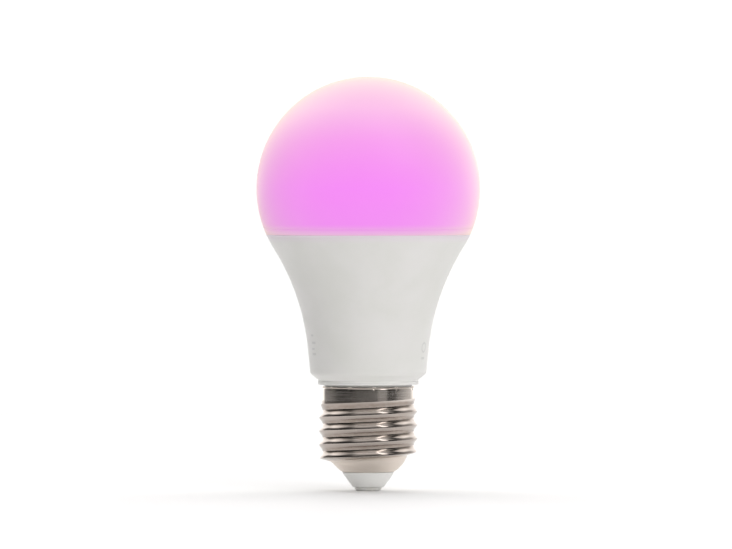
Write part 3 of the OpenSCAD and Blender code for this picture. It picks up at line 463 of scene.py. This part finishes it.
class Nodes:
    """Short ways to build a node tree."""

    def __init__(self, tree):
        self.tree = tree

    def add(self, kind, inputs=None, **settings):
        node = self.tree.nodes.new("ShaderNode" + kind)
        for name, value in settings.items():
            setattr(node, name, value)
        for name, value in (inputs or {}).items():
            self.put(node.inputs[name], value)
        return node

    def put(self, socket, value):
        if isinstance(value, bpy.types.NodeSocket):
            self.tree.links.new(value, socket)
        else:
            socket.default_value = value

    def math(self, operation, *values):
        return self.add("Math", dict(enumerate(values)), operation=operation).outputs[0]

    def split(self, vector):
        return self.add("SeparateXYZ", {0: vector}).outputs

    def step(self, value, low, high, start=0.0, end=1.0):
        """start below low, end above high, smooth in between."""
        inputs = {"Value": value, "From Min": low, "From Max": high, "To Min": start, "To Max": end}
        return self.add("MapRange", inputs, interpolation_type="SMOOTHSTEP").outputs[0]

    def ramp(self, value, stops):
        """A colour ramp through (place, colour) stops."""
        node = self.add("ValToRGB", {0: value})
        elements = node.color_ramp.elements
        while len(elements) < len(stops):
            elements.new(0.5)
        for element, (place, colour) in zip(elements, stops):
            element.position, element.color = place, colour
        return node.outputs["Color"]

    def mix(self, factor, a, b):
        """a where the factor is 0 and b where it is 1, for colours."""
        node = self.add("Mix", data_type="RGBA")
        self.put(node.inputs[0], factor)
        self.put(node.inputs[6], a)
        self.put(node.inputs[7], b)
        return node.outputs[2]

    def mix_value(self, factor, a, b):
        """The same for values."""
        return self.add("Mix", {"Factor": factor, "A": a, "B": b}, data_type="FLOAT").outputs["Result"]

    def hypotenuse(self, a, b):
        """Length of the vector (a, b)."""
        return self.math("SQRT", self.math("ADD", self.math("POWER", a, 2), self.math("POWER", b, 2)))

    def azimuth(self, x, y):
        """Angle round the bulb's axis, in degrees, counted from -Y in front towards +X."""
        return self.math("DEGREES", self.math("ARCTAN2", x, self.math("MULTIPLY", y, -1)))

    def band(self, value, middle, half, soft):
        """1 within half of the middle, fading to 0 over soft."""
        return self.step(self.math("ABSOLUTE", self.math("SUBTRACT", value, middle)), half, half + soft, 1, 0)


class Look(Nodes):
    """A Principled material whose patterns are laid out in millimetres on the object."""

    def __init__(self, name, **sockets):
        self.slot = name
        self.material = bpy.data.materials.new(name)
        self.material.use_nodes = True
        super().__init__(self.material.node_tree)
        self.shader = self.tree.nodes["Principled BSDF"]
        for socket, value in sockets.items():
            self.set(socket.replace("_", " "), value)
        coordinates = self.add("TexCoord").outputs["Object"]
        self.place = self.add(
            "VectorMath", {0: coordinates, "Scale": 1 / MM}, operation="SCALE"
        ).outputs[0]
        self.x, self.y, self.z = self.split(self.place)
        self.normal = None

    def set(self, socket, value):
        self.put(self.shader.inputs[socket], value)

    def noise(self, scale, detail=3.0, stretch=(1, 1, 1), rough=0.5):
        """Noise from 0 to 1, with scale features to the millimetre."""
        place = self.add("VectorMath", {0: self.place, 1: stretch}, operation="MULTIPLY").outputs[0]
        inputs = {"Vector": place, "Scale": scale, "Detail": detail, "Roughness": rough}
        return self.add("TexNoise", inputs).outputs["Fac"]

    def cells(self, scale, **settings):
        """Distance to the nearest cell point."""
        inputs = {"Vector": self.place, "Scale": scale}
        return self.add("TexVoronoi", inputs, **settings).outputs["Distance"]

    def bump(self, height, depth, strength=1.0):
        """Adds a height field, depth millimetres from 0 to 1, over the bumps already there."""
        inputs = {"Height": height, "Distance": depth * MM, "Strength": strength}
        if self.normal is not None:
            inputs["Normal"] = self.normal
        self.normal = self.add("Bump", inputs).outputs[0]
        self.set("Normal", self.normal)

    def tint(self, colour, other, amount):
        """Base colour that turns from one colour to another."""
        self.set("Base Color", self.mix(amount, colour, other))

    def vary_roughness(self, value, low, high):
        self.set("Roughness", self.step(value, 0.25, 0.75, low, high))


def plain(name, colour, other, roughness, grain=2.0, depth=0.01, **sockets):
    """Moulded or painted surface: a little mottling, a fine grain, and uneven gloss."""
    look = Look(name, **sockets)
    cloudy = look.noise(grain * 0.2, 4)
    fine = look.noise(grain * 4, 2)
    look.tint(colour, other, look.step(cloudy, 0.3, 0.75))
    look.vary_roughness(look.noise(grain, 3), roughness * 0.85, min(1, roughness * 1.2))
    look.bump(fine, depth)
    return look


def metal(name, colour, other, roughness, stretch=(1, 1, 6), scale=2.0, depth=0.004, **sockets):
    """Metal with fine drawn lines, a few stains and uneven gloss."""
    look = Look(name, Metallic=1.0, **sockets)
    lines = look.noise(scale, 5, stretch, 0.65)
    stains = look.noise(0.35, 5)
    look.tint(colour, other, look.step(stains, 0.45, 0.75))
    look.vary_roughness(lines, roughness * 0.75, min(1, roughness * 1.4))
    look.bump(lines, depth)
    return look


# ---------------------------------------------------------------- looks of the outside


def milky_diffuser():
    """Lit opal plastic: magenta light, deepest near the LEDs, under a warm sheen; the glow turns paler
    towards the crown, and that paling is painted sheen.
    """
    look = Look(
        "milky_diffuser", Roughness=0.5, Coat_Weight=0.8, Coat_Roughness=0.45,
        Sheen_Weight=1.0, Sheen_Roughness=0.8, Sheen_Tint=(1, 0.97, 0.6, 1), Emission_Strength=1.0,
    )
    look.tint(srgb(40, 34, 38), srgb(46, 40, 44), look.noise(0.12, 3))
    height = look.add(
        "MapRange", {"Value": look.z, "From Min": SEAM_Z, "From Max": DOME_HIGH.z}
    ).outputs[0]
    # The glow is the lamp's own light; its paling towards the crown is painted sheen, standing in for the
    # pale sheen where the dome turns away.
    glow_with_painted_pale_crown = look.ramp(height, [
        (0.0, (0.76, 0.36, 0.74, 1)), (0.035, (0.82, 0.2, 0.86, 1)), (0.07, (0.88, 0.1, 0.96, 1)),
        (0.3, (0.97, 0.14, 1.04, 1)), (0.6, (0.98, 0.22, 0.96, 1)), (0.8, (0.98, 0.34, 0.9, 1)),
        (1.0, (0.85, 0.3, 0.78, 1)),
    ])
    uneven = look.step(look.noise(0.06, 3), 0.2, 0.8, 0, 0.06)
    look.set("Emission Color", look.mix(uneven, glow_with_painted_pale_crown, (0.9, 0.3, 0.9, 1)))
    look.bump(look.noise(5, 2), 0.004)
    look.bump(look.noise(0.5, 2), 0.01)
    return look


def housing_plastic():
    """Satin white moulding with a fine eroded texture, faint strokes and a ring in place of print, and a pink
    cast painted under the seam where the dome's glow falls.
    """
    look = Look("housing_plastic", Roughness=0.46, Specular_IOR_Level=0.4)
    cloudy = look.noise(0.08, 4)
    base = look.mix(look.step(cloudy, 0.3, 0.7), srgb(233, 233, 229), srgb(238, 237, 235))
    around = look.azimuth(look.x, look.y)
    marks = []
    for low, high, angle, half in (
        (36.2, 36.7, -64, 3.4), (37.6, 38.0, -65, 2.6), (39.2, 39.7, -63, 3.4), (41.2, 41.6, -64, 2.2),
        (35.1, 35.6, 66, 3.0),
    ):
        rows = look.band(look.z, (low + high) / 2, (high - low) / 2, 0.12)
        marks.append(look.math("MULTIPLY", rows, look.band(around, angle, half, 0.5)))
    ring_z, ring_angle, per_degree = 38.2, 66, 0.3
    across = look.math("MULTIPLY", look.math("SUBTRACT", around, ring_angle), per_degree)
    up = look.math("SUBTRACT", look.z, ring_z)
    marks.append(look.band(look.hypotenuse(across, up), 1.2, 0.16, 0.12))
    ink = marks[0]
    for mark in marks[1:]:
        ink = look.math("MAXIMUM", ink, mark)
    # Painted light: the housing turns pink over the last 2.5 mm under the seam, standing in for the dome's
    # glow falling on it.
    base = look.mix(look.step(look.z, SEAM_Z - 2.5, SEAM_Z, 0, 0.6), base, srgb(240, 226, 240))
    look.set("Base Color", look.mix(look.math("MULTIPLY", ink, 0.22), base, srgb(150, 152, 155)))
    look.vary_roughness(look.noise(1.2, 3), 0.40, 0.54)
    look.bump(look.noise(7, 3), 0.006)
    look.bump(look.noise(0.25, 2), 0.02)
    return look


def nickel_shell():
    """Bright nickel plate, rolled round the cap, with scuffs on the crests and a dull film in the roots; the
    root film is also painted shade, the thread is painted darker as painted shade, and the taper is painted
    lighter as a painted reflection.
    """
    look = Look("nickel_shell", Metallic=1.0)
    rolled = look.noise(1.2, 5, (0.12, 0.12, 5), 0.6)
    scuffs = look.noise(0.5, 6, (1, 1, 3), 0.7)
    radius = look.hypotenuse(look.x, look.y)
    in_root = look.step(radius, ROOT_R + 0.1, CREST_R - 0.2, 1, 0)
    # Partly a real dull film and partly painted shade: the roots are darkened where shade falls between the
    # ridges.
    root_film_and_shade = look.math("MULTIPLY", in_root, look.step(scuffs, 0.3, 0.7, 0.25, 0.8))
    under_skirt = look.step(look.z, 23.6, 24.4, 1, 0)
    on_thread = look.math("MULTIPLY", look.step(radius, 10.6, 11.6), under_skirt)
    on_taper = look.step(look.z, 9, 10, 1, 0)
    nickel_and_painted_taper_light = look.mix(look.step(rolled, 0.3, 0.7), srgb(222, 212, 204), srgb(228, 219, 211))
    # Painted light: the taper below the thread gets a lighter nickel, standing in for a brighter reflection
    # of the floor.
    nickel_and_painted_taper_light = look.mix(on_taper, nickel_and_painted_taper_light, srgb(236, 226, 217))
    # Partly oxide and grime, partly painted shade: the whole thread gets a darker nickel, standing in for the
    # darker surroundings its flanks reflect.
    nickel_with_painted_thread_shade = look.mix(on_thread, nickel_and_painted_taper_light, srgb(184, 174, 167))
    look.set("Base Color", look.mix(look.math("MULTIPLY", root_film_and_shade, on_thread), nickel_with_painted_thread_shade, srgb(150, 136, 125)))
    satin = look.math("MULTIPLY", on_taper, look.math("SUBTRACT", 1, on_thread))
    gloss = look.math("ADD", look.step(rolled, 0.25, 0.75, 0.07, 0.12), look.math("MULTIPLY", root_film_and_shade, 0.05))
    look.set("Roughness", look.math("ADD", gloss, look.math("MULTIPLY", satin, 0.35)))
    look.bump(rolled, 0.0015)
    look.bump(look.noise(0.16, 2, (1, 1, 0.3)), 0.05, 0.5)
    return look


def insulator_plastic():
    """Off-white insulator with a moulded grain and a slightly dirty lower rim."""
    look = Look("insulator_plastic", Roughness=0.38)
    low_down = look.step(look.z, 0.9, 2.2, 1, 0)
    dirt = look.math("MULTIPLY", low_down, look.step(look.noise(0.6, 5), 0.35, 0.7, 0, 0.2))
    look.tint(srgb(246, 246, 244), srgb(206, 202, 194), dirt)
    look.vary_roughness(look.noise(1.5, 3), 0.3, 0.46)
    look.bump(look.noise(5, 3), 0.01)
    return look


def contact_metal():
    """Tin-plated contact with turning marks round its face."""
    look = Look("contact_metal", Metallic=0.4)
    radius = look.hypotenuse(look.x, look.y)
    turned = look.math("SINE", look.math("MULTIPLY", radius, 22))
    worn = look.noise(0.7, 5)
    look.set("Base Color", look.mix(look.step(worn, 0.4, 0.7), srgb(250, 249, 246), srgb(238, 236, 231)))
    look.vary_roughness(worn, 0.3, 0.45)
    look.bump(turned, 0.004)
    look.bump(look.noise(1.5, 4), 0.02)
    return look


# ---------------------------------------------------------------- looks of the inside


def solder_mask(name, mask, trace, scale):
    """Printed circuit board: lacquer over the faint relief of its tracks and its glass cloth."""
    look = Look(name, Coat_Weight=0.4, Coat_Roughness=0.15)
    tracks = look.cells(scale, distance="MANHATTAN")
    lines = look.band(look.math("FRACT", look.math("MULTIPLY", tracks, 3)), 0.5, 0.12, 0.06)
    weave = look.noise(3, 2)
    base = look.mix(look.math("MULTIPLY", lines, 0.6), mask, trace)
    look.set("Base Color", look.mix(look.step(weave, 0.3, 0.8, 0, 0.15), base, srgb(240, 240, 230)))
    look.vary_roughness(weave, 0.28, 0.42)
    look.bump(lines, 0.03)
    return look


def phosphor(name, colour, other):
    """Silicone filled with phosphor powder, domed and slightly grainy."""
    look = Look(name, Roughness=0.3, Coat_Weight=0.6, Coat_Roughness=0.1, Subsurface_Weight=0.1)
    look.tint(colour, other, look.step(look.cells(9), 0.1, 0.6))
    look.bump(look.noise(6, 3), 0.02)
    return look


def wound(name, colour, other, turns_per_mm):
    """Tape or wire laid in turns along the piece's height."""
    look = Look(name, Coat_Weight=0.3, Coat_Roughness=0.2)
    turns = look.math("SINE", look.math("MULTIPLY", look.z, turns_per_mm * 2 * math.pi))
    look.tint(colour, other, look.step(look.math("ADD", turns, look.noise(0.8, 3)), 0.1, 1.2))
    look.vary_roughness(look.noise(2, 3), 0.3, 0.5)
    look.bump(turns, 0.04)
    return look


def sleeve(name, colour, stripe, axis_x):
    """Shrunk plastic sleeve of a capacitor, with its pale polarity stripe and a crinkle near the ends."""
    look = Look(name, Coat_Weight=0.5, Coat_Roughness=0.12)
    on_stripe = look.band(look.x, axis_x, 0.5, 0.08)
    look.tint(look.mix(look.noise(0.6, 3), colour, srgb(30, 34, 44)), stripe, on_stripe)
    look.vary_roughness(look.noise(1.5, 3), 0.25, 0.4)
    look.bump(look.noise(1.4, 3, (0.4, 0.4, 2)), 0.03)
    return look


def clear_resin():
    """Clear moulded lens over a colour LED."""
    look = Look("clear_resin", Roughness=0.08, IOR=1.5, Transmission_Weight=0.85, Coat_Weight=0.4)
    look.tint(srgb(244, 246, 250), srgb(226, 232, 242), look.noise(0.6, 3))
    look.bump(look.noise(1.8, 2), 0.01)
    return look


def resistor_lacquer():
    """Lacquered resistor body with coloured bands round it."""
    look = Look("resistor_lacquer", Coat_Weight=0.6, Coat_Roughness=0.15)
    base = look.mix(look.noise(1.2, 3), srgb(70, 122, 92), srgb(60, 108, 84))
    for z, colour in ((19.4, srgb(150, 30, 24)), (20.8, srgb(20, 20, 20)), (22.2, srgb(190, 150, 60))):
        base = look.mix(look.band(look.z, z, 0.3, 0.06), base, colour)
    look.set("Base Color", base)
    look.vary_roughness(look.noise(2, 3), 0.25, 0.4)
    look.bump(look.noise(1.2, 3), 0.04)
    return look


def make_looks():
    """One look for each material slot of the record."""
    made = [
        milky_diffuser(), housing_plastic(), nickel_shell(), insulator_plastic(), contact_metal(),
        plain("white_silicone", srgb(232, 232, 228), srgb(220, 220, 214), 0.4, 1.5, 0.05, Coat_Weight=0.3),
        metal("heat_sink_aluminium", srgb(196, 198, 200), srgb(170, 172, 176), 0.34, (1, 1, 0.2)),
        solder_mask("led_board_mask", srgb(238, 238, 234), srgb(214, 214, 206), 0.5),
        solder_mask("green_circuit_board", srgb(24, 92, 52), srgb(60, 132, 78), 0.42),
        solder_mask("blue_circuit_board", srgb(22, 52, 116), srgb(58, 96, 160), 0.6),
        metal("screw_steel", srgb(176, 176, 178), srgb(140, 138, 138), 0.3, (3, 3, 1)),
        plain("led_package_plastic", srgb(244, 244, 238), srgb(232, 232, 224), 0.4, 4, 0.01),
        phosphor("warm_phosphor", srgb(244, 176, 62), srgb(232, 154, 46)),
        phosphor("cool_phosphor", srgb(240, 226, 96), srgb(228, 208, 76)),
        clear_resin(),
        plain("chip_epoxy", srgb(30, 30, 32), srgb(44, 44, 46), 0.5, 6, 0.02),
        plain("resistor_body", srgb(28, 28, 30), srgb(52, 52, 54), 0.35, 5, 0.01, Coat_Weight=0.3),
        plain("ivory_nylon", srgb(232, 226, 206), srgb(220, 212, 190), 0.45, 2, 0.015),
        metal("gold_plate", srgb(228, 180, 92), srgb(206, 156, 74), 0.22, (3, 3, 1)),
        plain("black_nylon", srgb(26, 26, 28), srgb(40, 40, 42), 0.5, 3, 0.02),
        metal("tinplate", srgb(200, 202, 204), srgb(176, 178, 180), 0.26, (1, 6, 1)),
        metal("antenna_copper", srgb(206, 150, 92), srgb(184, 122, 70), 0.3, (6, 1, 1)),
        metal("tinned_metal", srgb(206, 206, 206), srgb(178, 178, 180), 0.28, (2, 2, 2)),
        sleeve("capacitor_sleeve_blue", srgb(34, 58, 128), srgb(206, 210, 222), 0.4),
        sleeve("capacitor_sleeve_grey", srgb(66, 72, 84), srgb(212, 214, 218), -9.3),
        plain("ferrite", srgb(52, 52, 56), srgb(74, 72, 74), 0.62, 3, 0.06),
        plain("phenolic", srgb(40, 32, 28), srgb(56, 44, 36), 0.45, 3, 0.02),
        wound("winding_tape", srgb(232, 190, 52), srgb(206, 160, 34), 0.9),
        wound("shrink_sleeve", srgb(30, 34, 32), srgb(52, 56, 54), 1.6),
        plain("film_capacitor_epoxy", srgb(150, 40, 30), srgb(124, 30, 24), 0.35, 1.5, 0.05, Coat_Weight=0.5),
        plain("varistor_epoxy", srgb(34, 72, 142), srgb(28, 58, 120), 0.38, 1.5, 0.06, Coat_Weight=0.4),
        resistor_lacquer(),
        plain("capacitor_ceramic", srgb(176, 148, 112), srgb(158, 130, 96), 0.4, 5, 0.02),
        metal("solder", srgb(198, 200, 202), srgb(164, 166, 170), 0.24, (1, 1, 1), 1.5, 0.03),
        plain("red_wire_pvc", srgb(170, 26, 22), srgb(148, 20, 18), 0.36, 2, 0.01, Coat_Weight=0.3),
        plain("white_wire_pvc", srgb(230, 228, 222), srgb(214, 212, 204), 0.36, 2, 0.01, Coat_Weight=0.3),
        metal("copper_wire", srgb(206, 132, 92), srgb(176, 100, 66), 0.28, (1, 1, 1), 3.0, 0.02),
    ]
    return {look.slot: look.material for look in made}


# ---------------------------------------------------------------- stage


def make_floor():
    """Plain white table top with a barely visible grain, its edge out of the camera's view."""
    radius, thickness, set_back = 500, 4, 150
    floor = lathe("floor", rounded([
        (0, 0, 0), (0, -thickness, 0), (radius, -thickness, 1), (radius, 0, 1.5),
    ]), 128)
    floor.location.y = set_back * MM
    look = Look("floor_white", Roughness=0.7, Specular_IOR_Level=0.1)
    look.tint(srgb(242, 242, 242), srgb(240, 240, 240), look.noise(0.02, 3))
    look.bump(look.noise(1.5, 3), 0.01)
    floor.data.materials.append(look.material)


def make_world():
    """Soft white tent, open and so dark towards the camera low down, with two flags and a soft box."""
    world = bpy.data.worlds.new("studio")
    world.use_nodes = True
    bpy.context.scene.world = world
    sky = Nodes(world.node_tree)
    x, y, z = sky.split(sky.add("TexCoord").outputs["Generated"])
    around = sky.azimuth(x, y)
    height = sky.math("DEGREES", sky.math("ARCSINE", z))

    # Tent above the horizon: dim in front, bright behind, with a dark flag on either side
    dim, nickel_with_painted_thread_shade, top_light = 0.6, 2.2, 1.5
    behind = sky.step(sky.math("ABSOLUTE", around), 85, 140, dim, nickel_with_painted_thread_shade)
    upper = sky.math("MULTIPLY", behind, sky.step(x, -1, 1, 1.0, 0.96))
    for angle, half, share in ((86, 9, 0.9), (-66, 14, 0.7)):
        flag = sky.math("MULTIPLY", sky.band(around, angle, half, 10), sky.step(height, 55, 70, share, 0))
        upper = sky.math("MULTIPLY", upper, sky.math("SUBTRACT", 1, flag))
    upper = sky.mix_value(sky.step(height, 60, 80), upper, top_light)

    # Levels round the horizon, by azimuth
    turn = sky.add("MapRange", {"Value": around, "From Min": -180, "From Max": 180}).outputs[0]
    levels = (
        (-180, 2.0), (-142, 1.6), (-128, 0.22), (-98, 0.12), (-78, 0.03), (-58, 0.02), (-25, 0.07),
        (20, 0.11), (27, 0.26), (44, 0.26), (50, 0.05), (66, 0.05), (78, 0.22), (98, 0.4), (124, 0.65),
        (140, 1.5), (180, 2.0),
    )
    stops = [((angle + 180) / 360, (level, level, level, 1)) for angle, level in levels]
    light = sky.mix_value(sky.band(height, 4, 22, 16), upper, sky.ramp(turn, stops))

    # Tall soft box to the right of the camera
    box_level = 2.2
    column = sky.band(around, 42, 6, 5)
    rows = sky.math("MULTIPLY", sky.step(height, 16, 40), sky.step(height, 75, 90, 1, 0))
    box = sky.math("MULTIPLY", sky.math("MULTIPLY", column, rows), box_level)
    light = sky.math("ADD", light, box)

    # The camera itself sees plain white
    background = world.node_tree.nodes["Background"]
    background.inputs["Color"].default_value = (1, 0.995, 0.985, 1)
    seen = sky.add("LightPath").outputs["Is Camera Ray"]
    sky.put(background.inputs["Strength"], sky.mix_value(seen, light, 1.05))


def add_light(name, kind, location, aim, **settings):
    """A light at a place in metres, aimed at another and kept out of reflections."""
    data = bpy.data.lights.new(name, kind)
    for setting, value in settings.items():
        setattr(data, setting, value)
    light = bpy.data.objects.new(name, data)
    bpy.context.scene.collection.objects.link(light)
    light.visible_glossy = False
    light.location = location
    light.rotation_euler = (Vector(aim) - light.location).to_track_quat("-Z", "Y").to_euler()


def make_lights():
    """Large soft fill from the front right, and a narrow low beam onto the insulator and contact."""
    add_light(
        "fill", "AREA", (0.45, -1.35, 0.6), (0, 0, 0.05),
        shape="DISK", size=0.9, energy=6, color=(1, 0.995, 0.98),
    )
    add_light(
        "snoot", "SPOT", (0.1, -0.6, 0.1), (0, 0, 0),
        energy=1.6, spot_size=math.radians(7), spot_blend=1, shadow_soft_size=0.03,
    )


def make_camera():
    """Long lens a little above the bulb, at the photograph's framing."""
    distance, height, aim_x, aim_z, view_width = 2000, 85, -0.6, 57.45, 194.7
    data = bpy.data.cameras.new("camera")
    data.sensor_width = 36
    data.lens = data.sensor_width * math.hypot(distance, height - aim_z) / view_width
    data.clip_start, data.clip_end = 0.05, 50
    camera = bpy.data.objects.new("camera", data)
    bpy.context.scene.collection.objects.link(camera)
    camera.location = Vector((aim_x, -distance, height)) * MM
    aim = Vector((aim_x, 0, aim_z)) * MM - camera.location
    camera.rotation_euler = aim.to_track_quat("-Z", "Y").to_euler()
    bpy.context.scene.camera = camera


# ---------------------------------------------------------------- build

make_camera()
looks = make_looks()
slot_of = {part["node"]: part["material_slot"] for part in frame["record"]["subparts"]}

for piece, node in (
    (make_diffuser(), "diffuser_dome"),
    (make_housing(), "housing_shell"),
    (make_screw_shell(), "screw_shell"),
    (make_insulator(), "base_insulator"),
    (make_contact(), "centre_contact"),
):
    piece.data.materials.append(looks[slot_of[node]])
    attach(piece, "root")
    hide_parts(node)

for node, cad_object in frame["nodes"].items():
    for material_slot in cad_object.material_slots:
        material_slot.material = looks[slot_of[node]]

make_floor()
make_world()
make_lights()
bpy.context.scene.view_settings.view_transform = "Standard"
